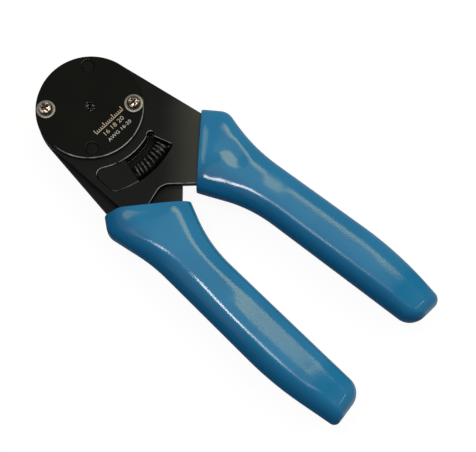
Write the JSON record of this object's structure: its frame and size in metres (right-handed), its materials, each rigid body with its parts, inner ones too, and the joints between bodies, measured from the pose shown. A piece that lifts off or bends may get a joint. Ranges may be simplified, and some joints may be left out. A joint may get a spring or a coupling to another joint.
{
  "type": "crimping tool",
  "caption": "Hand crimping tool for turned electrical contacts: a lever turning round a hub drives radial indenters in on a contact held in the round head, against a return spring.",
  "frame": {"origin": "centre of the contact hole on the front face of the front disc", "axes": "+Z out of the front face along the crimp axis, +X from the head along the middle between the handles, +Y towards the fixed handle"},
  "size_m": [0.1863, 0.0738, 0.0338],
  "materials": {
    "blackened_plate": "black oxide, satin",
    "blackened_disc": "black oxide with pale printed figures",
    "tool_steel": "hardened and ground",
    "plated_steel": "nickel plated, bright",
    "dowel_steel": "blackened, recessed",
    "rivet_steel": "plain",
    "spring_steel": "oiled spring wire",
    "grip_vinyl": "dipped vinyl, glossy"
  },
  "bodies": {
    "frame": {"front_frame_plate": "blackened_plate", "handle_backing_plate": "blackened_plate", "front_cover_disc": "blackened_disc", "back_cover": "blackened_disc", "indenter_hub": "tool_steel", "cover_screws": "plated_steel", "flat_washers": "plated_steel", "split_washers": "plated_steel", "dowel_pins": "dowel_steel", "frame_rivets": "rivet_steel", "fixed_grip": "grip_vinyl", "return_spring": "spring_steel"},
    "lever": {"lever_plate": "blackened_plate", "lever_facing_plate": "blackened_plate", "lever_rivets": "rivet_steel", "moving_grip": "grip_vinyl"},
    "indenter_a": {"indenter_1": "tool_steel"},
    "indenter_b": {"indenter_2": "tool_steel"},
    "indenter_c": {"indenter_3": "tool_steel"},
    "indenter_d": {"indenter_4": "tool_steel"},
    "depth_stop": {"stop_tip": "tool_steel"},
    "adjuster": {"adjusting_screw": "plated_steel"},
    "locknut": {"adjuster_locknut": "plated_steel"}
  },
  "joints": [
    {"name": "lever_pivot", "type": "hinge", "parent": "frame", "child": "lever", "pos_m": [0, 0, 0], "axis": [0, 0, 1], "range_deg": [0, 5.4], "stiffness_Nm_per_rad": 2.2, "springref_deg": -6.88, "deforming": ["return_spring"]},
    {"name": "indenter_a_slide", "type": "slide", "parent": "frame", "child": "indenter_a", "axis": [-1, 0, 0], "range_m": [0, 0.0008501]},
    {"name": "indenter_b_slide", "type": "slide", "parent": "frame", "child": "indenter_b", "axis": [0, -1, 0], "range_m": [0, 0.0008501]},
    {"name": "indenter_c_slide", "type": "slide", "parent": "frame", "child": "indenter_c", "axis": [1, 0, 0], "range_m": [0, 0.0008501]},
    {"name": "indenter_d_slide", "type": "slide", "parent": "frame", "child": "indenter_d", "axis": [0, 1, 0], "range_m": [0, 0.0008501]},
    {"name": "depth_stop_slide", "type": "slide", "parent": "frame", "child": "depth_stop", "axis": [0, 0, 1], "range_m": [-0.003, 0.0014]},
    {"name": "adjuster_turn", "type": "hinge", "parent": "depth_stop", "child": "adjuster", "pos_m": [0, 0, 0], "axis": [0, 0, 1], "range_deg": [-1085, 509]},
    {"name": "locknut_turn", "type": "hinge", "parent": "frame", "child": "locknut", "pos_m": [0, 0, 0], "axis": [0, 0, 1], "range_deg": [-60, 0]}
  ],
  "couplings": [
    {"joint": "indenter_a_slide", "follows": "lever_pivot", "m_per_rad": 0.0090188},
    {"joint": "indenter_b_slide", "follows": "lever_pivot", "m_per_rad": 0.0090188},
    {"joint": "indenter_c_slide", "follows": "lever_pivot", "m_per_rad": 0.0090188},
    {"joint": "indenter_d_slide", "follows": "lever_pivot", "m_per_rad": 0.0090188},
    {"joint": "adjuster_turn", "follows": "depth_stop_slide", "rad_per_m": 6283.2}
  ]
}
